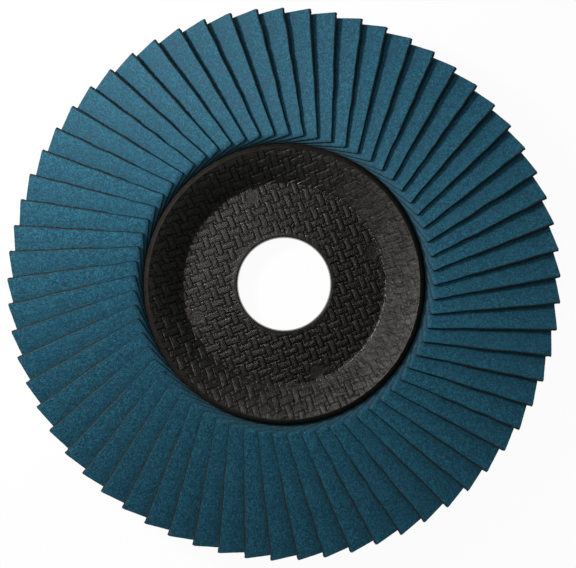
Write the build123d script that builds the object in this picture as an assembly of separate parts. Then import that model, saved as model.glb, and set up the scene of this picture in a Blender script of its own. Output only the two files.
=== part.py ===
from build123d import *
import math
import os

# Flap disc for an angle grinder. A moulded backing plate with a depressed centre
# carries a ring of overlapping abrasive cloth flaps in a bed of cured adhesive.
#
# Millimetres. Z is the bore axis, the hub's back face lies on z = 0 and the
# abrasive side faces +Z. "Clockwise" is as seen from the abrasive side.

# Backing plate: hub and recess
BORE_RADIUS = 11.115  # takes a 22.23 mm spindle flange
BORE_EDGE = 0.4  # chamfer round the front of the bore
HUB_THICKNESS = 4.5
RECESS_RADIUS = 24.0  # edge of the flat floor that the clamping nut seats on
RECESS_CORNER = 0.6  # fillet between the floor and the recess wall
RECESS_WALL_WIDTH = 6.8  # plan width of the wall, up to the ridge's crest
RECESS_DEPTH = 7.9  # from the ridge's crest down to the floor
HUB_BACK_MARGIN = 0.4  # the flat back face is this much wider than the floor
HUB_FLANK_WIDTH = 3.6  # plan width of the flank from the back face to the annulus
HUB_FLANK_CORNER = 1.2  # fillets at both ends of that flank

# Backing plate: round marks that the mould's pins leave in the recess floor
PIN_MARK_COUNT = 4
PIN_MARK_RADIUS = 1.6
PIN_MARK_DEPTH = 0.15
PIN_MARK_MARGIN = 0.5  # from the marks to the edge of the floor
FIRST_PIN_MARK_ANGLE = 20.3  # degrees from +X

# Backing plate: ridge round the recess, and the annulus behind it
SHOULDER_WIDTH = 1.3  # inner side of the ridge's crest, less steep than the wall
SHOULDER_DROP = 1.1
LIP_WIDTH = 1.2  # sloping lip on the outer side of the crest
LIP_DROP = 1.3
ANNULUS_DROP = 5.45  # from the crest down to the annulus at the ridge's foot
ANNULUS_THICKNESS = 2.8
RIM_CORNER = 0.8  # fillets of the plate's outer rim
FACE_SLOPE = 3.0  # degrees, annulus and flaps fall towards the rim

# Abrasive flaps
DISC_RADIUS = 63.0  # over the flaps' outer corners
FLAP_COUNT = 65
FLAP_WIDTH = 17.0
FLAP_THICKNESS = 0.85
FLAP_GAP = 0.03  # between neighbouring flaps, where they lie closest
FLAP_OVERHANG = 8.0  # beyond the plate's rim
FLAP_END_CLEARANCE = 0.45  # from the ridge's outer wall
FREE_EDGE_OFFSET = 9.6  # from the free edge to the radius it is parallel to
FIRST_TIP_ANGLE = 84.81  # degrees from +X to the first flap's outer corner

# Cured adhesive under the flaps
ADHESIVE_DEPTH = 0.5  # between the plate and the flaps' lowest edges
ADHESIVE_GRIP = 0.4  # how far the lowest edges are sunk into it
ADHESIVE_CLEARANCE = 0.3  # from the ridge's outer wall
ADHESIVE_SETBACK = 2.0  # from the plate's rim

# Places that follow from the sizes above
SLOPE = math.tan(math.radians(FACE_SLOPE))
CREST_RADIUS = RECESS_RADIUS + RECESS_WALL_WIDTH
CREST_HEIGHT = HUB_THICKNESS + RECESS_DEPTH
RIDGE_RADIUS = CREST_RADIUS + LIP_WIDTH
PLATE_RADIUS = DISC_RADIUS - FLAP_OVERHANG
FLAP_INNER_END = RIDGE_RADIUS + FLAP_END_CLEARANCE
FLAP_OUTER_END = math.sqrt(DISC_RADIUS**2 - FREE_EDGE_OFFSET**2)
FLAP_LENGTH = (FLAP_OUTER_END - FLAP_INNER_END) / math.cos(math.radians(FACE_SLOPE))
FLAP_PITCH = 360 / FLAP_COUNT
FREE_EDGE_LEAD = math.degrees(math.asin(FREE_EDGE_OFFSET / DISC_RADIUS))


def flap_tilt():
    """Angle in radians at which each flap lies on the next, tightest at the inner end."""
    rise = (FLAP_THICKNESS + FLAP_GAP) / math.radians(FLAP_PITCH)
    lost_to_slope = SLOPE * (FLAP_WIDTH - FREE_EDGE_OFFSET)
    return math.asin((rise + lost_to_slope) / FLAP_INNER_END)


TILT = flap_tilt()
FLAP_STACK = FLAP_WIDTH * math.sin(TILT) + FLAP_THICKNESS * math.cos(TILT)


def annulus_height(radius):
    """Front of the plate's annulus, on which the adhesive lies."""
    return CREST_HEIGHT - ANNULUS_DROP - (radius - RIDGE_RADIUS) * SLOPE


def low_edge_height(radius):
    """Lowest edges of the flaps."""
    return annulus_height(radius) + ADHESIVE_DEPTH


def turned(corners, fillets=()):
    """Solid of revolution from (radius, height) corners, some of them filleted."""
    section = make_face(Polyline(*corners, close=True))
    for corner, radius in fillets:
        nearest = section.vertices().sort_by_distance(Vector(*corner))[0]
        section = fillet(nearest, radius)
    return revolve(Plane.XZ * section, Axis.Z)


def pin_marks():
    """Shallow discs to sink into the recess floor."""
    disc = Cylinder(
        PIN_MARK_RADIUS, PIN_MARK_DEPTH, align=(Align.CENTER, Align.CENTER, Align.MAX)
    )
    circle = RECESS_RADIUS - PIN_MARK_MARGIN - PIN_MARK_RADIUS
    spots = PolarLocations(circle, PIN_MARK_COUNT, start_angle=FIRST_PIN_MARK_ANGLE)
    return [Pos(0, 0, HUB_THICKNESS) * spot * disc for spot in spots]


def backing_plate():
    """One moulding: hub, recess wall, ridge and the annulus behind the flaps."""
    back_radius = RECESS_RADIUS + HUB_BACK_MARGIN
    flank_radius = back_radius + HUB_FLANK_WIDTH
    floor_edge = (RECESS_RADIUS, HUB_THICKNESS)
    rim_front = (PLATE_RADIUS, annulus_height(PLATE_RADIUS))
    rim_back = (PLATE_RADIUS, annulus_height(PLATE_RADIUS) - ANNULUS_THICKNESS)
    flank_top = (flank_radius, annulus_height(flank_radius) - ANNULUS_THICKNESS)
    hub_back = (back_radius, 0)
    corners = [
        (BORE_RADIUS, 0),
        (BORE_RADIUS, HUB_THICKNESS - BORE_EDGE),
        (BORE_RADIUS + BORE_EDGE, HUB_THICKNESS),
        floor_edge,
        (CREST_RADIUS - SHOULDER_WIDTH, CREST_HEIGHT - SHOULDER_DROP),
        (CREST_RADIUS, CREST_HEIGHT),
        (RIDGE_RADIUS, CREST_HEIGHT - LIP_DROP),
        (RIDGE_RADIUS, annulus_height(RIDGE_RADIUS)),
        rim_front,
        rim_back,
        flank_top,
        hub_back,
    ]
    fillets = [
        (floor_edge, RECESS_CORNER),
        (rim_front, RIM_CORNER),
        (rim_back, RIM_CORNER),
        (flank_top, HUB_FLANK_CORNER),
        (hub_back, HUB_FLANK_CORNER),
    ]
    return turned(corners, fillets) - pin_marks()


def flap(number):
    """One abrasive cloth flap, leaning on its clockwise neighbour."""
    blank = Box(
        FLAP_LENGTH, FLAP_WIDTH, FLAP_THICKNESS, align=(Align.MIN, Align.MIN, Align.MAX)
    )
    leaning = Rot(0, FACE_SLOPE, 0) * Rot(-math.degrees(TILT), 0, 0) * blank
    top = low_edge_height(FLAP_INNER_END) + FLAP_STACK
    on_radius = Pos(FLAP_INNER_END, -FREE_EDGE_OFFSET, top) * leaning
    turn = FIRST_TIP_ANGLE + FREE_EDGE_LEAD - number * FLAP_PITCH
    return Rot(0, 0, turn) * on_radius


def adhesive_ring(flaps):
    """Cured bed between plate and flaps, moulded round the flaps' lowest edges."""
    inner = RIDGE_RADIUS + ADHESIVE_CLEARANCE
    outer = PLATE_RADIUS - ADHESIVE_SETBACK
    bed = turned(
        [
            (inner, annulus_height(inner)),
            (outer, annulus_height(outer)),
            (outer, low_edge_height(outer) + ADHESIVE_GRIP),
            (inner, low_edge_height(inner) + ADHESIVE_GRIP),
        ]
    )
    return bed - flaps


def write_node(name, solids):
    """One STEP file holding the node's solids."""
    node = Compound(label=name, children=solids)
    export_step(node, os.path.join("parts", name + ".step"))


def main():
    os.makedirs("parts", exist_ok=True)
    flaps = [flap(number) for number in range(FLAP_COUNT)]
    write_node("backing_plate", [backing_plate()])
    write_node("adhesive_ring", [adhesive_ring(flaps)])
    for first in range(0, FLAP_COUNT, 2):
        pair = flaps[first : first + 2]
        name = "flap_pair" if len(pair) == 2 else "flap_single"
        write_node(f"{name}_{first // 2 + 1:02d}", pair)


main()
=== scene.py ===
"""Looks of the flap disc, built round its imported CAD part.

Sizes are in millimetres and angles in degrees, as in the part's source, and a size that is in both has the
same name. Blender takes metres, so a size is multiplied by MM where it goes into a mesh, texture or object.
"""
import math

import bpy
import numpy as np
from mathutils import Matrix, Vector


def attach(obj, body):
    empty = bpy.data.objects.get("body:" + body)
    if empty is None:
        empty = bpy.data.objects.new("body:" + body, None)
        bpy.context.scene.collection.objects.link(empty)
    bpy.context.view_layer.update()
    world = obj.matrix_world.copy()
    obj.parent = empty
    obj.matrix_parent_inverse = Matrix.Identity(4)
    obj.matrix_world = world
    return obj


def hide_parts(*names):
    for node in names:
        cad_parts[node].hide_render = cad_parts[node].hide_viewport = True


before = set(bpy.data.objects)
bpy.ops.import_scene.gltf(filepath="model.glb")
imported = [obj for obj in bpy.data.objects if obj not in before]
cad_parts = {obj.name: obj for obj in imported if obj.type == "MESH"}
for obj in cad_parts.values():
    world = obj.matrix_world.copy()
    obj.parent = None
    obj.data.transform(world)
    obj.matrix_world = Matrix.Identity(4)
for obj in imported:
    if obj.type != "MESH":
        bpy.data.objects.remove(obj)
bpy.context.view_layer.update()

MM = 0.001
SEED = 65
CLOSE = 0.01  # two places this near count as the same

# Backing plate, as in the CAD part
BORE_RADIUS = 11.115
BORE_EDGE = 0.4
HUB_THICKNESS = 4.5
RECESS_RADIUS = 24.0
RECESS_CORNER = 0.6
RECESS_WALL_WIDTH = 6.8
RECESS_DEPTH = 7.9
HUB_BACK_MARGIN = 0.4
HUB_FLANK_WIDTH = 3.6
HUB_FLANK_CORNER = 1.2
SHOULDER_WIDTH = 1.3
SHOULDER_DROP = 1.1
LIP_WIDTH = 1.2
LIP_DROP = 1.3
ANNULUS_DROP = 5.45
ANNULUS_THICKNESS = 2.8
RIM_CORNER = 0.8
FACE_SLOPE = 3.0
PIN_MARK_COUNT = 4
PIN_MARK_RADIUS = 1.6
PIN_MARK_MARGIN = 0.5
FIRST_PIN_MARK_ANGLE = 20.3

# Backing plate, in the looks only
LIP_CROWN_OUT, LIP_CROWN_DROP = 0.55, 0.4  # from the crest to the point that rounds the lip
LIP_GRAIN = 0.012  # unevenness of the trimmed lip
PLATE_TURNS = 576  # points in each ring
PLATE_SHARP = 38  # sharpest angle that is shaded smooth
RIB_CIRCLE = 27.0  # radius at which the width of the wall's ribs is counted
RIB_STRETCH = 5  # a rib is this many times longer up the wall than it is wide

# Abrasive flaps and the adhesive under them, as in the CAD part
DISC_RADIUS = 63.0
FLAP_COUNT = 65
FLAP_WIDTH = 17.0
FLAP_THICKNESS = 0.85
FLAP_GAP = 0.03
FLAP_OVERHANG = 8.0
FLAP_END_CLEARANCE = 0.45
FREE_EDGE_OFFSET = 9.6
FIRST_TIP_ANGLE = 84.81
ADHESIVE_DEPTH = 0.5

# Abrasive flaps, in the looks only
FLAP_CORNER = 0.38  # rounds the free edge into the inner end
BARE_START = 8.0  # from the inner end to where the free edge shows its cloth
SHOWN_WIDTH = 8.0  # strip of the front, from the free edge, that is modelled finely
EDGE_INSET = 0.12  # from the free edge to the first point of the front
FREE_EDGE = ((0.0, -0.70), (0.0, -0.54), (0.0, -0.38), (0.03, -0.22), (0.08, -0.05))  # across, height
CLOTH_SHARE = (0.8, 1.0, 1.0, 0.75, 0.25, 0.0)  # of the cloth's bulge, at each point from the underside up
FLAP_SHARP = 40  # sharpest angle that is shaded smooth
WAVE_DEPTH, RIPPLE_DEPTH, GRIT_DEPTH = 0.030, 0.010, 0.012  # of the front
END_DROP = 0.30  # of the front at the inner end
EDGE_WANDER, EDGE_GRAIN = 0.09, 0.008  # of the free edge's line
CLOTH_OUT, FRINGE = 0.19, 0.09  # how far bare cloth stands out, and how much that varies
COAT_CURL = 0.10  # how far the edge draws in where the bare cloth starts
END_FRAY, END_CUT = 0.02, 0.12  # at the outer end
TURN_SPREAD, TURN_LIMIT = 0.05, 0.09  # of a flap's place in the ring, in degrees
TEXTURE_SPREAD = 200.0  # so that no two flaps show the same stretch of a texture

# Places that follow from the sizes above
SLOPE = math.tan(math.radians(FACE_SLOPE))
CREST_RADIUS = RECESS_RADIUS + RECESS_WALL_WIDTH
CREST_HEIGHT = HUB_THICKNESS + RECESS_DEPTH
RIDGE_RADIUS = CREST_RADIUS + LIP_WIDTH
PLATE_RADIUS = DISC_RADIUS - FLAP_OVERHANG
PIN_MARK_CIRCLE = RECESS_RADIUS - PIN_MARK_MARGIN - PIN_MARK_RADIUS
FLAP_INNER_END = RIDGE_RADIUS + FLAP_END_CLEARANCE
FLAP_OUTER_END = math.sqrt(DISC_RADIUS**2 - FREE_EDGE_OFFSET**2)
FLAP_LENGTH = (FLAP_OUTER_END - FLAP_INNER_END) / math.cos(math.radians(FACE_SLOPE))
FLAP_PITCH = 360 / FLAP_COUNT
FIRST_TURN = FIRST_TIP_ANGLE + math.degrees(math.asin(FREE_EDGE_OFFSET / DISC_RADIUS))

# Cloth's imprint in the plate's front: a flat bar where a thread lies on top, a groove round it, and ground
# between them. A bar's halves, across and along it, are in thread pitches
THREAD_PITCH = 2.40
THREAD_ANGLE = 20.6
THREAD_START = (-0.30, 0.50)  # places of the axis, in pitches along a row and along a column
RELIEF_DEPTH = 0.12
ROW_HALF = (0.31, 0.68)
COLUMN_HALF = (0.29, 0.64)
GROUND_LEVEL = 0.72  # of a column bar's height
ROW_LEVEL = 0.90
WORN_ROW_LEVEL = 0.85  # in the mesh, which the material's bump lies on
COLUMN_CROWN = 2.5
BAR_ROUNDING = 0.12
FLOOR_RELIEF, SHADED_LOSS = 1.2, 0.45  # strength on the floor, and how much less it is on the shaded side
WALL_RELIEF, PLAIN_LOSS = 2.5, 1.7  # strength on the wall, and how much less it is on the plain side
RELIEF_FADES = (0.185, 0.685), (0.3, 0.0)  # distances from the bore's edge, and from the crest
PRINT_FADES = (0.485, 1.285), (0.6, 0.1)  # the same for the imprint in the material
THREAD_WANDER = 0.13
UNEVEN_WEAR, LUMPY_WEAR, GRAINY_WEAR = 0.12, 0.14, 0.06  # as shares of the relief
PLAIN_WEAR, SHADED_WEAR, PRINT_WEAR = 0.65, 0.35, 0.25  # of the imprint in the material
CORNER_CALM = 0.8  # share that is lost along the corner of floor and wall, on the lit side
CORNER_OUT, CORNER_WIDTH = 0.2, 0.6  # from the recess floor's edge
MARK_LEVEL, MARK_RIM_LEVEL = 0.2, 0.95  # of a pin mark and of the raised rim round it
MARK_EDGE, MARK_RIM_OUT, MARK_RIM_WIDTH = 0.25, 0.2, 0.16
MARK_RIM_SHARE, MARK_RIM_WEAR = 0.7, 0.6
WALL_FADE, LIP_FADE = 0.5, 0.2  # widths over which the wall and the lip begin
WALL_GREY_LEAST = 0.20  # share of the wall's paler grey on its side away from the lit one; the rest, toward the lit side, is painted light
PAINTED_SHADE_LOSS, PAINTED_SHADE_RADII = 0.6, (27.5, 29.5)  # painted shade: share of the grey taken off high on the shaded side, and the radii between which that sets in

# Sides of the recess, in degrees from +X
SHADED_SIDE = 135  # next to the light, which its wall keeps off
LIT_SIDE = -30
PLAIN_SIDE = 5  # where the wall's imprint is weakest

# Floor, world, lamps and camera
FLOOR_SIDE = 4000.0
FLOOR_DROP = 0.02  # below the part, so that the two don't share a plane
FLOOR_WHITE = 0.955  # share of the seen floor that is plain white, while the rest keeps the shadow
WORLD_TINT = (0.66, 0.94, 1.0, 1)
WORLD_LOW, WORLD_HIGH = 0.33, 0.05  # strengths near the horizon and overhead
WORLD_FADE = (0.45, 0.95)  # sines of the elevations between which the strength falls
WHITE_FADE = (0.16, 0.38)  # the same for the white background
LAMP_AIM_HEIGHT = 10.0
# Each lamp's name, azimuth clockwise from +Y, elevation, distance, width and power in watts
LAMPS = (
    ("key", 298.0, 37.0, 190.0, 36.0, 0.36),
    ("high_softbox", 298.0, 70.0, 220.0, 100.0, 0.105),
)
CAMERA_HEIGHT = 196.65
SENSOR_WIDTH = 36.0
IMAGE_WIDTH = 576  # this and the next two are in pixels of the photograph
FOCAL_PIXELS = 814.15
SHIFT_PIXELS = (3.86, 0.08)


class Nodes:
    """The node tree of a material or a world, with short calls for the nodes that they share."""

    def __init__(self, owner):
        owner.use_nodes = True
        self.owner = owner
        self.tree = owner.node_tree

    def link(self, source, target):
        """Links an output to an input, or sets the input where source is a plain value."""
        if isinstance(source, bpy.types.NodeSocket):
            self.tree.links.new(source, target)
        else:
            target.default_value = source

    def node(self, kind, inputs=None, **settings):
        made = self.tree.nodes.new("ShaderNode" + kind)
        for key, value in settings.items():
            setattr(made, key, value)
        for key, value in (inputs or {}).items():
            self.link(value, made.inputs[key])
        return made

    def attribute(self, name, output="Fac"):
        return self.node("Attribute", attribute_name=name).outputs[output]

    def place(self):
        return self.node("TexCoord").outputs["Object"]

    def noise(self, place, size, detail=2.0, roughness=0.5):
        inputs = {"Vector": place, "Scale": 1 / (size * MM), "Detail": detail, "Roughness": roughness}
        return self.node("TexNoise", inputs).outputs["Fac"]

    def grains(self, place, size):
        """A random level for each grain."""
        colour = self.node("TexVoronoi", {"Vector": place, "Scale": 1 / (size * MM)}).outputs["Color"]
        return self.node("SeparateColor", {"Color": colour}).outputs["Red"]

    def stretch(self, place, scale):
        return self.node("Mapping", {"Vector": place, "Scale": scale}).outputs["Vector"]

    def math(self, operation, *values):
        made = self.node("Math", operation=operation)
        for value, target in zip(values, made.inputs):
            self.link(value, target)
        return made.outputs["Value"]

    def fit(self, value, low, high, new_low=0.0, new_high=1.0, curve="LINEAR"):
        """Maps low..high to new_low..new_high, clamped."""
        inputs = {"Value": value, "From Min": low, "From Max": high, "To Min": new_low, "To Max": new_high}
        return self.node("MapRange", inputs, interpolation_type=curve).outputs["Result"]

    def mix(self, factor, first, second, blend="MIX"):
        made = self.node("Mix", data_type="RGBA", blend_type=blend)
        self.link(factor, made.inputs["Factor"])
        self.link(first, made.inputs[6])
        self.link(second, made.inputs[7])
        return made.outputs[2]

    def bump(self, height, distance, strength=1.0, normal=None):
        """Adds relief, with its distance in metres, on top of the normal that an earlier call gave."""
        made = self.node("Bump", {"Height": height, "Distance": distance, "Strength": strength})
        if normal is not None:
            self.link(normal, made.inputs["Normal"])
        return made.outputs["Normal"]

    def shown(self):
        """1 for the rays that show a background: from the camera, off something glossy or through glass."""
        path = self.node("LightPath").outputs
        direct = self.math("MAXIMUM", path["Is Camera Ray"], path["Is Glossy Ray"])
        return self.math("MAXIMUM", direct, path["Is Transmission Ray"])

    def finish(self, colour, roughness, normal, specular=0.5, tint=(1, 1, 1, 1)):
        """Gives the material its colour, roughness, normal, and specular level and tint."""
        inputs = self.tree.nodes["Principled BSDF"].inputs
        self.link(colour, inputs["Base Color"])
        self.link(roughness, inputs["Roughness"])
        self.link(normal, inputs["Normal"])
        inputs["Specular IOR Level"].default_value = specular
        inputs["Specular Tint"].default_value = tint
        return self.owner


def woven_height(s):
    """The imprint's height at full sharpness, and how far a place is inside a row's bar, both 0 to 1. Places
    come from the mesh, counted in threads."""
    threads = s.node("SeparateXYZ", {"Vector": s.attribute("threads", "Vector")}).outputs
    row, column = s.math("ROUND", threads["Y"]), s.math("ROUND", threads["X"])

    def edge(aside, along, half):
        """Distance outside a bar, or inside it where negative."""
        sides = s.math("SUBTRACT", aside, half[0]), s.math("SUBTRACT", along, half[1])
        return s.math("SMOOTH_MAX", *sides, BAR_ROUNDING)

    aside_row = s.math("ABSOLUTE", s.math("SUBTRACT", threads["Y"], row))
    along_row = s.math("PINGPONG", s.math("SUBTRACT", threads["X"], row), 1.0)
    aside_column = s.math("ABSOLUTE", s.math("SUBTRACT", threads["X"], column))
    along_column = s.math("ADD", s.math("SUBTRACT", threads["Y"], column), 1.0)
    along_column = s.math("PINGPONG", along_column, 1.0)
    row_edge = edge(aside_row, along_row, ROW_HALF)
    column_edge = edge(aside_column, along_column, COLUMN_HALF)

    row_bars = s.math("MULTIPLY", s.fit(row_edge, -0.05, 0.02, 1.0, 0.0, "SMOOTHSTEP"), ROW_LEVEL)
    fall = s.math("MULTIPLY", s.math("MULTIPLY", aside_column, aside_column), COLUMN_CROWN)
    crown = s.math("SUBTRACT", 1.0, fall)
    column_bars = s.math("MULTIPLY", s.fit(column_edge, -0.05, 0.02, 1.0, 0.0, "SMOOTHSTEP"), crown)
    nearest = s.math("MINIMUM", row_edge, column_edge)
    ground = s.fit(nearest, 0.02, 0.09, 0.0, GROUND_LEVEL, "SMOOTHSTEP")
    height = s.math("MAXIMUM", s.math("MAXIMUM", row_bars, column_bars), ground)
    return height, s.fit(row_edge, -0.06, 0.0, 1.0, 0.0, "SMOOTHSTEP")


def resin_material():
    """Black phenolic resin with a cloth's imprint. The wall is ribbed, duller and greyer than the floor, and
    its grey is painted paler toward the lit side and darker high on the shaded side as painted light and
    shade; the imprint's row bars and grooves are darkened as painted shade.
    """
    black, dark_grey = (0.0020, 0.0019, 0.0018, 1), (0.0070, 0.0066, 0.0062, 1)
    # The wall's grey, varied by its ribs and patches; how much of it shows is partly painted light and shade
    wall_grey_dark, wall_grey_pale = (0.014, 0.0134, 0.0126, 1), (0.060, 0.0573, 0.0538, 1)
    wall_grey_worn, clouded = (0.008, 0.0076, 0.0071, 1), (0.006, 0.0057, 0.0053, 1)
    # Painted shade for the imprint's row bars and for its grooves
    row_painted_shade, groove_painted_shade = (0.0015, 0.0014, 0.0013, 1), (0.0012, 0.0011, 0.0010, 1)

    s = Nodes(bpy.data.materials.new("black_resin"))
    place = s.place()
    wall = s.attribute("wall")
    printed = s.attribute("printed")
    woven, in_row = woven_height(s)
    in_row = s.math("MULTIPLY", in_row, printed)
    fine = s.noise(place, size=0.42, detail=3, roughness=0.7)
    coarse = s.noise(place, size=0.80, detail=2, roughness=0.7)
    cloudy = s.noise(place, size=5.0, detail=3)
    ribs = s.noise(s.attribute("ribs", "Vector"), size=0.62, detail=3, roughness=0.6)

    floor = s.mix(s.fit(fine, 0.35, 0.7), black, dark_grey)
    wall_grey = s.mix(s.fit(ribs, 0.40, 0.62), wall_grey_dark, wall_grey_pale)
    wall_grey = s.mix(s.fit(coarse, 0.44, 0.62, 0.0, 0.75), wall_grey, wall_grey_worn)
    # The wall's paler grey: more toward the lit side as painted light, less high on the shaded side as
    # painted shade
    colour = s.mix(s.attribute("wall_grey_and_painted_light"), floor, wall_grey)
    colour = s.mix(s.fit(cloudy, 0.4, 0.7, 0.0, 0.25), colour, clouded)
    # Painted shade: the row bars are darkened, more on the floor than on the wall, as if turned from the
    # light
    colour = s.mix(s.math("MULTIPLY", in_row, s.fit(wall, 0.0, 1.0, 0.8, 0.2)), colour, row_painted_shade)
    # Painted shade in the grooves round the imprint's bars
    groove = s.math("MULTIPLY", s.fit(woven, 0.1, 0.45, 0.8, 0.0), printed)
    colour = s.mix(groove, colour, groove_painted_shade)

    roughness = s.math("ADD", s.fit(fine, 0.3, 0.7, 0.26, 0.39), s.math("MULTIPLY", wall, 0.15))
    roughness = s.math("SUBTRACT", roughness, s.math("MULTIPLY", in_row, 0.08))

    imprint = s.math("MULTIPLY", s.math("SUBTRACT", woven, 1.0), printed)
    normal = s.bump(imprint, s.fit(wall, 0.0, 1.0, 0.18 * MM, 0.32 * MM))
    normal = s.bump(ribs, 0.24 * MM, s.math("MULTIPLY", wall, 0.8), normal)
    normal = s.bump(coarse, 0.34 * MM, s.math("MULTIPLY", wall, 0.9), normal)
    normal = s.bump(fine, s.fit(wall, 0.0, 1.0, 0.10 * MM, 0.20 * MM), 0.9, normal)
    return s.finish(colour, roughness, normal, tint=(1.0, 0.94, 0.90, 1))


def lip_material():
    """The ridge's trimmed lip: the same resin, duller and browner."""
    dark, pale, patch = (0.006, 0.0052, 0.0046, 1), (0.032, 0.026, 0.0205, 1), (0.005, 0.0044, 0.0039, 1)
    s = Nodes(bpy.data.materials.new("trimmed_resin"))
    place = s.place()
    fine = s.noise(place, size=0.3, detail=3, roughness=0.6)
    patches = s.noise(place, size=1.6, detail=3, roughness=0.6)
    colour = s.mix(s.fit(fine, 0.3, 0.7), dark, pale)
    colour = s.mix(s.fit(patches, 0.4, 0.65, 0.0, 0.6), colour, patch)
    roughness = s.fit(patches, 0.3, 0.7, 0.55, 0.72)
    normal = s.bump(fine, 0.05 * MM, 0.8, s.bump(patches, 0.12 * MM, 0.8))
    return s.finish(colour, roughness, normal, specular=0.10)


def flap_material():
    """Blue grit on cloth. The blank attribute is a point's place in its own flap, plus an offset per flap."""
    grit_deep, grit_pale = (0.007, 0.056, 0.098, 1), (0.031, 0.162, 0.250, 1)
    between_grains, mottled = (0.006, 0.033, 0.056, 1), (0.020, 0.112, 0.168, 1)
    darker_flap, greener = (0.012, 0.068, 0.112, 1), (0.85, 1.06, 0.94, 1)
    shade, darker_edge = (0.008, 0.046, 0.074, 1), (0.006, 0.030, 0.042, 1)
    cloth_dark, cloth_pale = (0.005, 0.009, 0.011, 1), (0.019, 0.023, 0.021, 1)
    coated_cloth, frayed_tip = (0.005, 0.020, 0.030, 1), (0.026, 0.040, 0.044, 1)

    s = Nodes(bpy.data.materials.new("blue_grit_on_cloth"))
    place = s.attribute("blank", "Vector")
    grains = s.grains(place, size=0.34)
    fine = s.noise(place, size=0.30, detail=2, roughness=0.7)
    mottle = s.noise(s.stretch(place, (1, 2.2, 1)), size=2.2, detail=3, roughness=0.55)
    hue = s.noise(place, size=1.7, detail=1)
    threads = s.noise(s.stretch(place, (2.5, 1, 1)), size=0.7, detail=2, roughness=0.6)

    grit = s.mix(s.fit(grains, 0.1, 0.95), grit_deep, grit_pale)
    grit = s.mix(s.fit(fine, 0.44, 0.62, 0.0, 0.8), grit, between_grains)
    grit = s.mix(s.fit(mottle, 0.35, 0.7, 0.0, 0.3), grit, mottled)
    grit = s.mix(s.math("MULTIPLY", s.attribute("tone"), 0.25), grit, darker_flap)
    grit = s.mix(s.fit(hue, 0.35, 0.65, 0.0, 0.5), grit, s.mix(1.0, grit, greener, "MULTIPLY"))
    # Painted shade: darker across the strip away from the free edge, toward the next flap's overhanging edge
    grit = s.mix(s.math("MULTIPLY", s.attribute("shaded_by_next_flap"), 0.30), grit, shade)
    # Darker along the free edge and the outer end, unevenly
    worn = s.math("ADD", s.attribute("rim"), s.fit(mottle, 0.35, 0.65, -0.35, 0.25))
    grit = s.mix(s.fit(worn, 0.25, 0.95, 0.0, 0.45), grit, darker_edge)

    cloth = s.mix(s.fit(threads, 0.35, 0.65), cloth_dark, cloth_pale)
    cloth = s.mix(s.attribute("bare"), coated_cloth, cloth)
    ragged_depth = s.math("ADD", s.attribute("depth"), s.fit(fine, 0.2, 0.8, -0.05, 0.05))
    colour = s.mix(s.fit(ragged_depth, 0.08, 0.18), grit, cloth)
    frayed = s.math("MULTIPLY", s.attribute("tip"), s.fit(fine, 0.35, 0.6, 0.3, 1.0))
    colour = s.mix(frayed, colour, frayed_tip)

    roughness = s.math("ADD", s.fit(grains, 0.0, 1.0, 0.60, 0.76), s.fit(mottle, 0.3, 0.7, -0.04, 0.04))
    normal = s.bump(s.math("ADD", grains, fine), 0.09 * MM, 0.6)
    return s.finish(colour, roughness, normal, specular=0.21)


def adhesive_material():
    """Cured adhesive, dull and very dark brown."""
    dark, pale = (0.012, 0.010, 0.008, 1), (0.04, 0.031, 0.024, 1)
    s = Nodes(bpy.data.materials.new("cured_adhesive"))
    place = s.place()
    lumps = s.noise(place, size=1.4, detail=3)
    fine = s.noise(place, size=0.3, detail=2)
    colour = s.mix(s.fit(lumps, 0.35, 0.7), dark, pale)
    roughness = s.fit(fine, 0.3, 0.7, 0.5, 0.7)
    normal = s.bump(fine, 0.04 * MM, 0.5, s.bump(lumps, 0.25 * MM, 0.8))
    return s.finish(colour, roughness, normal)


def floor_material():
    """White where it is seen, with the object's shadow kept. To the other rays it is a plain pale floor."""
    s = Nodes(bpy.data.materials.new("pale_floor"))
    s.tree.nodes.remove(s.tree.nodes["Principled BSDF"])
    pale = s.node("BsdfDiffuse", {"Color": (0.9, 0.9, 0.9, 1)}).outputs[0]
    white = s.node("Emission", {"Color": (1, 1, 1, 1), "Strength": 1.0}).outputs[0]
    share = s.math("MULTIPLY", s.shown(), FLOOR_WHITE)
    mixed = s.node("MixShader", {0: share, 1: pale, 2: white}).outputs[0]
    s.link(mixed, s.tree.nodes["Material Output"].inputs["Surface"])
    return s.owner


def add_mesh(name, places, faces, values, materials, sharp):
    """A mesh object with float or vector point values, shaded smooth up to the sharp angle."""
    mesh = bpy.data.meshes.new(name)
    mesh.from_pydata((places * MM).tolist(), [], faces)
    for key, value in values.items():
        kind, field = ("FLOAT_VECTOR", "vector") if value.ndim == 2 else ("FLOAT", "value")
        mesh.attributes.new(key, kind, "POINT").data.foreach_set(field, value.astype(np.float32).ravel())
    mesh.shade_smooth()
    mesh.set_sharp_from_angle(angle=math.radians(sharp))
    for material in materials:
        mesh.materials.append(material)
    made = bpy.data.objects.new(name, mesh)
    bpy.context.scene.collection.objects.link(made)
    return made


def wrapped_faces(rows, columns, rows_close):
    """Four-sided faces of a grid of points. Its last column, and row if rows_close, meets the first."""
    index = np.arange(rows * columns).reshape(rows, columns)
    near, far = (index, np.roll(index, -1, 0)) if rows_close else (index[:-1], index[1:])
    faces = np.stack([near, np.roll(near, -1, 1), np.roll(far, -1, 1), far], -1).reshape(-1, 4)
    return faces[:, ::-1]


def soft_waves(random, size, count):
    """A smooth random field over a plane, as a function of x and y, with values near -1 to 1."""
    turn = random.uniform(0, 2 * np.pi, count)
    phase = random.uniform(0, 2 * np.pi, count)
    rate = 2 * np.pi / (size * random.uniform(0.7, 1.6, count))

    def field(x, y):
        total = sum(np.sin(k * (x * np.cos(t) + y * np.sin(t)) + p) for k, t, p in zip(rate, turn, phase))
        return total / math.sqrt(2 * count)

    return field


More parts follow.
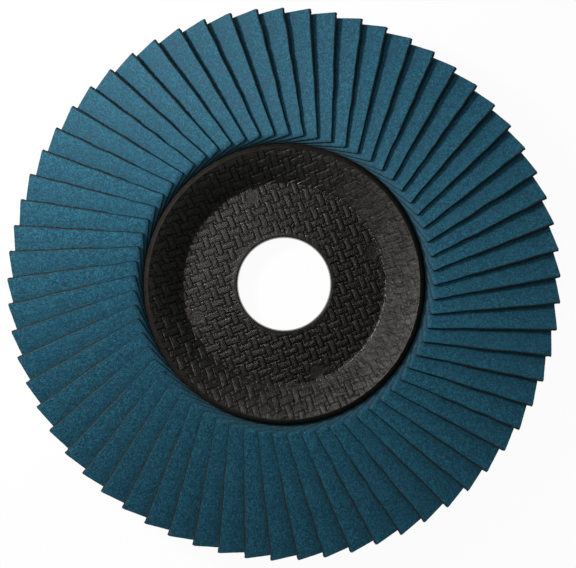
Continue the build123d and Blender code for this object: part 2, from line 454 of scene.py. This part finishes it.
def ramp(value, start, end):
    """Goes smoothly from 0 at start to 1 at end."""
    share = np.clip((value - start) / (end - start), 0, 1)
    return share * share * (3 - 2 * share)


def hill(value, centre, width):
    """1 at the centre, falling smoothly to both sides."""
    return np.exp(-(((value - centre) / width) ** 2))


def between(radius, from_bore, from_crest):
    """1 on the plate's front, fading to 0 between two distances from the bore's edge, and from the crest."""
    start = BORE_RADIUS + BORE_EDGE
    fade_in = ramp(radius, start + from_bore[0], start + from_bore[1])
    return fade_in * (1 - ramp(radius, CREST_RADIUS - from_crest[0], CREST_RADIUS - from_crest[1]))


def towards(turn, side):
    """1 on that side of the disc, in degrees from +X, and 0 on the opposite one."""
    return 0.5 + 0.5 * np.cos(turn - math.radians(side))


def annulus_height(radius):
    """Front of the plate's annulus, on which the adhesive lies."""
    return CREST_HEIGHT - ANNULUS_DROP - (radius - RIDGE_RADIUS) * SLOPE


def flap_tilt():
    """Angle in degrees at which each flap lies on the next, as in the CAD part."""
    rise = (FLAP_THICKNESS + FLAP_GAP) / math.radians(FLAP_PITCH)
    lost_to_slope = SLOPE * (FLAP_WIDTH - FREE_EDGE_OFFSET)
    return math.degrees(math.asin((rise + lost_to_slope) / FLAP_INNER_END))


def flap_top():
    """Height of a flap's free edge at its inner end."""
    tilt = math.radians(flap_tilt())
    stack = FLAP_WIDTH * math.sin(tilt) + FLAP_THICKNESS * math.cos(tilt)
    return annulus_height(FLAP_INNER_END) + ADHESIVE_DEPTH + stack


def thread_places(x, y):
    """Counts threads along a row and along a column of the weave."""
    angle = math.radians(THREAD_ANGLE)
    u = (x * math.cos(angle) + y * math.sin(angle)) / THREAD_PITCH + THREAD_START[0]
    v = (-x * math.sin(angle) + y * math.cos(angle)) / THREAD_PITCH + THREAD_START[1]
    return u, v


def weave(u, v):
    """The imprint's height in the mesh, 0 to 1, a little softer than in the material."""
    row, column = np.round(v), np.round(u)
    along_row = 1 - np.abs((u - row) % 2 - 1)
    along_column = np.abs((v - column) % 2 - 1)
    row_edge = np.maximum(np.abs(v - row) - ROW_HALF[0], along_row - ROW_HALF[1])
    column_edge = np.maximum(np.abs(u - column) - COLUMN_HALF[0], along_column - COLUMN_HALF[1])
    row_bars = WORN_ROW_LEVEL * (1 - ramp(row_edge, -0.10, 0.05))
    column_bars = 1 - ramp(column_edge, -0.10, 0.05)
    ground = GROUND_LEVEL * ramp(np.minimum(row_edge, column_edge), 0.02, 0.12)
    return np.maximum(np.maximum(row_bars, column_bars), ground)


def plate_corners():
    """The plate's section, from the bore's back edge over the front to the flat back face. Each corner has a
    radius, height and fillet, and the number of steps in the side that follows it."""
    back_radius = RECESS_RADIUS + HUB_BACK_MARGIN
    flank_radius = back_radius + HUB_FLANK_WIDTH
    rim_height = annulus_height(PLATE_RADIUS)
    return (
        (BORE_RADIUS, 0.0, 0, 4),
        (BORE_RADIUS, HUB_THICKNESS - BORE_EDGE, 0, 3),
        (BORE_RADIUS + BORE_EDGE, HUB_THICKNESS, 0, 42),
        (RECESS_RADIUS, HUB_THICKNESS, RECESS_CORNER, 29),
        (CREST_RADIUS - SHOULDER_WIDTH, CREST_HEIGHT - SHOULDER_DROP, 0, 7),
        (CREST_RADIUS, CREST_HEIGHT, 0, 5),
        (CREST_RADIUS + LIP_CROWN_OUT, CREST_HEIGHT - LIP_CROWN_DROP, 0, 4),
        (RIDGE_RADIUS, CREST_HEIGHT - LIP_DROP, 0, 3),
        (RIDGE_RADIUS, annulus_height(RIDGE_RADIUS), 0, 6),
        (PLATE_RADIUS, rim_height, RIM_CORNER, 3),
        (PLATE_RADIUS, rim_height - ANNULUS_THICKNESS, RIM_CORNER, 18),
        (flank_radius, annulus_height(flank_radius) - ANNULUS_THICKNESS, HUB_FLANK_CORNER, 6),
        (back_radius, 0.0, HUB_FLANK_CORNER, 12),
    )


def rounded_section(corners):
    """Points along a closed section, where a fillet is a curve between the two sides of its corner."""
    count = len(corners)
    here = [np.array(corner[:2]) for corner in corners]
    ends = []
    for i, (_, _, fillet, _) in enumerate(corners):
        back = here[i - 1] - here[i]
        ahead = here[(i + 1) % count] - here[i]
        back, ahead = back / np.linalg.norm(back), ahead / np.linalg.norm(ahead)
        half = math.acos(np.clip(back @ ahead, -1, 1)) / 2
        reach = fillet / math.tan(half) if fillet else 0.0
        ends.append((here[i] + back * reach, here[i] + ahead * reach))
    places = []
    for i, (_, _, fillet, steps) in enumerate(corners):
        start, end = ends[i]
        goal = ends[(i + 1) % count][0]
        for share in (0.0, 0.25, 0.5, 0.75) if fillet else ():
            places.append((1 - share) ** 2 * start + 2 * share * (1 - share) * here[i] + share**2 * end)
        for step in range(steps):
            places.append(end + (goal - end) * step / steps)
    return np.array(places)


def outward(section):
    """Normals at the points of a closed section."""
    along = np.roll(section, -1, 0) - np.roll(section, 1, 0)
    along /= np.linalg.norm(along, axis=1, keepdims=True)
    return np.stack([-along[:, 1], along[:, 0]], 1)


def build_plate(resin, trimmed):
    """The backing plate: the CAD section turned round the axis, with the imprint pressed into its front."""
    random = np.random.default_rng(SEED)
    section = rounded_section(plate_corners())
    normal = outward(section)
    angle = np.arange(PLATE_TURNS) * 2 * np.pi / PLATE_TURNS
    radius, turn = np.meshgrid(section[:, 0], angle, indexing="ij")
    height = np.broadcast_to(section[:, 1][:, None], radius.shape)
    x, y = radius * np.cos(turn), radius * np.sin(turn)

    # Where each part of the front is, and how its sides differ
    beyond_bore = radius > BORE_RADIUS + BORE_EDGE - CLOSE
    front = (height > HUB_THICKNESS - CLOSE) & beyond_bore & (radius < CREST_RADIUS)
    wall = ramp(radius, RECESS_RADIUS, RECESS_RADIUS + WALL_FADE) * front
    lip = ramp(radius, CREST_RADIUS - LIP_FADE, CREST_RADIUS) * (height > CREST_HEIGHT - LIP_DROP - CLOSE)
    shaded, lit = towards(turn, SHADED_SIDE), ramp(towards(turn, LIT_SIDE), 0, 1)
    plain = ramp(towards(turn, PLAIN_SIDE), 0.62, 0.92)
    corner = hill(radius, RECESS_RADIUS + CORNER_OUT, CORNER_WIDTH) * lit

    # The worn imprint, 0 in its grooves to 1 on its bars
    wander_x = soft_waves(random, size=7.0, count=9)(x, y)
    wander_y = soft_waves(random, size=7.0, count=9)(x, y)
    strength = soft_waves(random, size=9.0, count=9)(x, y)
    lumps = soft_waves(random, size=1.1, count=40)(x, y)
    u, v = thread_places(x + THREAD_WANDER * wander_x, y + THREAD_WANDER * wander_y)
    relief = weave(u, v) * (1 + UNEVEN_WEAR * strength) + LUMPY_WEAR * lumps
    relief += random.normal(0, GRAINY_WEAR, relief.shape)

    # How deep the mesh's relief is, and how strongly the material's shows
    on_floor = FLOOR_RELIEF - SHADED_LOSS * shaded
    on_wall = WALL_RELIEF - PLAIN_LOSS * plain
    depth = between(radius, *RELIEF_FADES) * (on_floor * (1 - wall) + on_wall * wall)
    depth *= 1 - CORNER_CALM * corner
    printed = between(radius, *PRINT_FADES) * front
    printed *= (1 - PLAIN_WEAR * wall * plain) * (1 - SHADED_WEAR * shaded * (1 - wall))
    printed *= 1 + PRINT_WEAR * strength
    printed *= 1 - CORNER_CALM * corner

    for number in range(PIN_MARK_COUNT):
        mark = math.radians(FIRST_PIN_MARK_ANGLE + 360 / PIN_MARK_COUNT * number)
        away = np.hypot(x - PIN_MARK_CIRCLE * math.cos(mark), y - PIN_MARK_CIRCLE * math.sin(mark))
        inside = 1 - ramp(away, PIN_MARK_RADIUS, PIN_MARK_RADIUS + MARK_EDGE)
        rim = hill(away, PIN_MARK_RADIUS + MARK_RIM_OUT, MARK_RIM_WIDTH)
        relief = relief * (1 - inside) + inside * MARK_LEVEL
        relief += MARK_RIM_SHARE * rim * (MARK_RIM_LEVEL - relief)
        printed *= (1 - inside) * (1 - MARK_RIM_WEAR * rim)

    pressed = np.where(front, (np.clip(relief, -0.2, 1.0) - 1.0) * depth * RELIEF_DEPTH, 0)
    pressed += np.where(lip > 0, random.normal(0, LIP_GRAIN, lip.shape), 0)
    radius = radius + normal[:, 0][:, None] * pressed
    height = height + normal[:, 1][:, None] * pressed
    places = np.stack([radius * np.cos(turn), radius * np.sin(turn), height], -1).reshape(-1, 3)

    # Where the wall's paler grey shows: more toward the lit side as painted light, less high on the shaded
    # side as painted shade
    wall_grey_and_painted_light = wall * (WALL_GREY_LEAST + (1 - WALL_GREY_LEAST) * lit) * (1 - PAINTED_SHADE_LOSS * shaded * ramp(radius, *PAINTED_SHADE_RADII))
    ribs = np.stack([RIB_CIRCLE * np.cos(turn), RIB_CIRCLE * np.sin(turn), radius / RIB_STRETCH], -1)
    values = {
        "threads": np.stack([u, v, np.zeros_like(u)], -1).reshape(-1, 3),
        "ribs": ribs.reshape(-1, 3) * MM,
        "wall": wall.ravel(),
        "wall_grey_and_painted_light": wall_grey_and_painted_light.ravel(),
        "printed": np.clip(printed, 0, 1).ravel(),
    }
    faces = wrapped_faces(len(section), PLATE_TURNS, rows_close=True)
    plate = add_mesh("moulded_plate", places, faces.tolist(), values, (resin, trimmed), PLATE_SHARP)
    on_lip = (lip > 0.5).ravel()[faces].all(axis=1)
    plate.data.polygons.foreach_set("material_index", on_lip.astype(np.int32))
    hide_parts("backing_plate")
    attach(plate, "root")


def flap_section():
    """A flap's outline as (across, height), and how many of its points are on the front. It runs over the
    front from the free edge, down the low edge, back along the underside and up the free edge."""
    front = [(across, 0.0) for across in np.linspace(EDGE_INSET, SHOWN_WIDTH, 29)]
    front += [(across, 0.0) for across in (10.0, 12.5, 15.0, FLAP_WIDTH)]
    low_edge = [(FLAP_WIDTH, -FLAP_THICKNESS / 2)]
    underside = [(across, -FLAP_THICKNESS) for across in (FLAP_WIDTH, 13.0, 9.0, 6.0, 3.0, 1.2, 0.0)]
    return np.array(front + low_edge + underside + list(FREE_EDGE)), len(front)


def flap_stations():
    """Where the sections stand along a flap, closer together at its rounded inner end."""
    near = (0.0, 0.06, 0.15, 0.27, 0.42, 0.6, 0.8, 1.0)
    return np.concatenate([near, np.linspace(near[-1], FLAP_LENGTH, 104)[1:]])


def turned(axis, degrees):
    """Matrix of a turn about the x, y or z axis."""
    angle = math.radians(degrees)
    c, s = math.cos(angle), math.sin(angle)
    if axis == "x":
        return np.array([[1, 0, 0], [0, c, -s], [0, s, c]])
    if axis == "y":
        return np.array([[c, 0, s], [0, 1, 0], [-s, 0, c]])
    return np.array([[c, -s, 0], [s, c, 0], [0, 0, 1]])


def build_flap(number, random):
    """One flap's points, faces and point values. Its points start in the flat blank, counted along from its
    inner end, across from its free edge, and up from its front."""
    outline, front_count = flap_section()
    stations = flap_stations()
    along, across = np.meshgrid(stations, outline[:, 0], indexing="ij")
    height = np.broadcast_to(outline[:, 1], along.shape)
    place = np.stack([along, across, height], -1)
    texture_offset = random.uniform(-TEXTURE_SPREAD, TEXTURE_SPREAD, 3)  # so that no two flaps look the same

    # The free edge is rounded into the inner end
    corner = FLAP_CORNER * random.uniform(0.8, 1.2)
    reach = np.clip(corner - along, 0, corner)
    place[..., 1] += (corner - np.sqrt(corner**2 - reach**2)) * np.clip(1 - across / 3.0, 0, 1)

    # The front is uneven where it shows, and drops at the inner end
    waves = soft_waves(random, size=9.0, count=6)(along, across)
    ripple = soft_waves(random, size=1.6, count=14)(along, across)
    sink = WAVE_DEPTH * (1 + waves) + RIPPLE_DEPTH * (1 + ripple)
    sink += np.abs(random.normal(0, GRIT_DEPTH, along.shape))
    sink *= 1 - ramp(across, SHOWN_WIDTH - 1.0, SHOWN_WIDTH + 1.5)
    sink += END_DROP * np.clip(1 - along, 0, 1) ** 2
    on_front = np.arange(len(outline)) < front_count
    on_front[-1] = True
    place[..., 2] -= np.where(on_front, sink, 0)

    # The free edge wanders, and its cloth stands out with a fringe where it is bare
    wobble = soft_waves(random, size=6.0, count=5)(along, 0)
    fringe = soft_waves(random, size=0.9, count=16)(along, height)
    line = EDGE_WANDER * wobble + random.normal(0, EDGE_GRAIN, along.shape)
    on_edge, on_cloth = np.zeros(len(outline)), np.zeros(len(outline))
    on_edge[0] = on_edge[-len(CLOTH_SHARE):] = 1.0
    on_cloth[-len(CLOTH_SHARE):] = CLOTH_SHARE
    bare = ramp(along, BARE_START, BARE_START + 3.0)
    proud = (CLOTH_OUT + FRINGE * fringe) * bare - COAT_CURL * hill(along, BARE_START, 1.2)
    place[..., 1] += line * on_edge - proud * on_cloth

    # The outer end is cut a little short and frayed
    fray = np.abs(random.normal(0, END_FRAY, len(outline)))
    place[-1, :, 0] -= fray + random.uniform(0, END_CUT)

    turn = FIRST_TURN - number * FLAP_PITCH
    turn += np.clip(random.normal(0, TURN_SPREAD), -TURN_LIMIT, TURN_LIMIT)
    leaning = turned("y", FACE_SLOPE) @ turned("x", -flap_tilt())
    blank = place.reshape(-1, 3)
    points = blank @ leaning.T + np.array([FLAP_INNER_END, -FREE_EDGE_OFFSET, flap_top()])
    points = points @ turned("z", turn).T

    first_end = list(range(len(outline)))
    last_end = [len(points) - 1 - i for i in first_end]
    faces = wrapped_faces(len(stations), len(outline), rows_close=False).tolist() + [first_end, last_end]
    near_edge = 1 - ramp(across, 0.05, 0.40)
    near_outer_end = ramp(along, FLAP_LENGTH - 0.35, FLAP_LENGTH)
    values = {
        "blank": (blank + texture_offset) * MM,
        "depth": -height.ravel(),
        "bare": bare.ravel(),
        "tip": (1 - ramp(along, 0.05, 0.25)).ravel(),
        "rim": np.maximum(near_edge, near_outer_end).ravel(),
        # painted shade, growing toward the next flap's overhanging edge
        "shaded_by_next_flap": ramp(across, 0.3, 4.8).ravel(),
        "tone": np.full(len(points), random.uniform(0, 1)),
    }
    return points, faces, values


def build_flaps(material):
    """The flaps, each its own mesh shell, in one object for each CAD node."""
    random = np.random.default_rng(SEED + 1)
    groups = [(f"flap_pair_{i + 1:02d}", (2 * i, 2 * i + 1)) for i in range(FLAP_COUNT // 2)]
    groups.append(("flap_single_33", (FLAP_COUNT - 1,)))
    for node, numbers in groups:
        points, faces, values, start = [], [], [], 0
        for number in numbers:
            made_points, made_faces, made_values = build_flap(number, random)
            points.append(made_points)
            faces += [[i + start for i in face] for face in made_faces]
            values.append(made_values)
            start += len(made_points)
        merged = {key: np.concatenate([v[key] for v in values]) for key in values[0]}
        piece = add_mesh("cloth_" + node, np.concatenate(points), faces, merged, (material,), FLAP_SHARP)
        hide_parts(node)
        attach(piece, "root")


def dress_adhesive(material):
    """The adhesive keeps its CAD shape and gets its own material."""
    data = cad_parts["adhesive_ring"].data
    data.materials.clear()
    data.materials.append(material)


def build_floor():
    """A wide pale floor under the part."""
    half = FLOOR_SIDE * MM / 2
    corners = [(-half, -half, 0), (half, -half, 0), (half, half, 0), (-half, half, 0)]
    mesh = bpy.data.meshes.new("floor")
    mesh.from_pydata(corners, [], [(0, 1, 2, 3)])
    mesh.materials.append(floor_material())
    floor = bpy.data.objects.new("floor", mesh)
    floor.location.z = -FLOOR_DROP * MM
    bpy.context.scene.collection.objects.link(floor)


def build_world():
    """A dim tinted world that lights the object. Where it is seen, it is white near the horizon instead."""
    world = bpy.data.worlds.new("studio")
    bpy.context.scene.world = world
    s = Nodes(world)
    direction = s.node("TexCoord").outputs["Generated"]
    up = s.node("SeparateXYZ", {"Vector": direction}).outputs["Z"]
    dim = s.tree.nodes["Background"]
    dim.inputs["Color"].default_value = WORLD_TINT
    s.link(s.fit(up, *WORLD_FADE, WORLD_LOW, WORLD_HIGH, "SMOOTHSTEP"), dim.inputs["Strength"])
    white_strength = s.fit(up, *WHITE_FADE, 1.0, WORLD_HIGH, "SMOOTHSTEP")
    white = s.node("Background", {"Color": (1, 1, 1, 1), "Strength": white_strength})
    mixed = s.node("MixShader", {0: s.shown(), 1: dim.outputs[0], 2: white.outputs[0]}).outputs[0]
    s.link(mixed, s.tree.nodes["World Output"].inputs["Surface"])


def build_lamps():
    """Round lamps that face the disc from their azimuth and elevation."""
    for name, azimuth, elevation, distance, width, power in LAMPS:
        lamp = bpy.data.lights.new(name, "AREA")
        lamp.shape = "DISK"
        lamp.size = width * MM
        lamp.energy = power
        turn, rise = math.radians(azimuth), math.radians(elevation)
        aim = Vector((math.cos(rise) * math.sin(turn), math.cos(rise) * math.cos(turn), math.sin(rise)))
        holder = bpy.data.objects.new(name, lamp)
        holder.location = aim * distance * MM + Vector((0, 0, LAMP_AIM_HEIGHT * MM))
        holder.rotation_euler = aim.to_track_quat("Z", "Y").to_euler()
        holder.visible_camera = False
        bpy.context.scene.collection.objects.link(holder)


def build_camera():
    """The photograph's camera, on the disc's axis."""
    data = bpy.data.cameras.new("camera")
    data.sensor_width = SENSOR_WIDTH
    data.lens = FOCAL_PIXELS * SENSOR_WIDTH / IMAGE_WIDTH
    data.shift_x, data.shift_y = (shift / IMAGE_WIDTH for shift in SHIFT_PIXELS)
    data.clip_start = 10 * MM
    camera = bpy.data.objects.new("camera", data)
    camera.location = (0, 0, CAMERA_HEIGHT * MM)
    bpy.context.scene.collection.objects.link(camera)
    bpy.context.scene.camera = camera


build_plate(resin_material(), lip_material())
build_flaps(flap_material())
dress_adhesive(adhesive_material())
build_floor()
build_world()
build_lamps()
build_camera()
bpy.context.scene.view_settings.view_transform = "Standard"
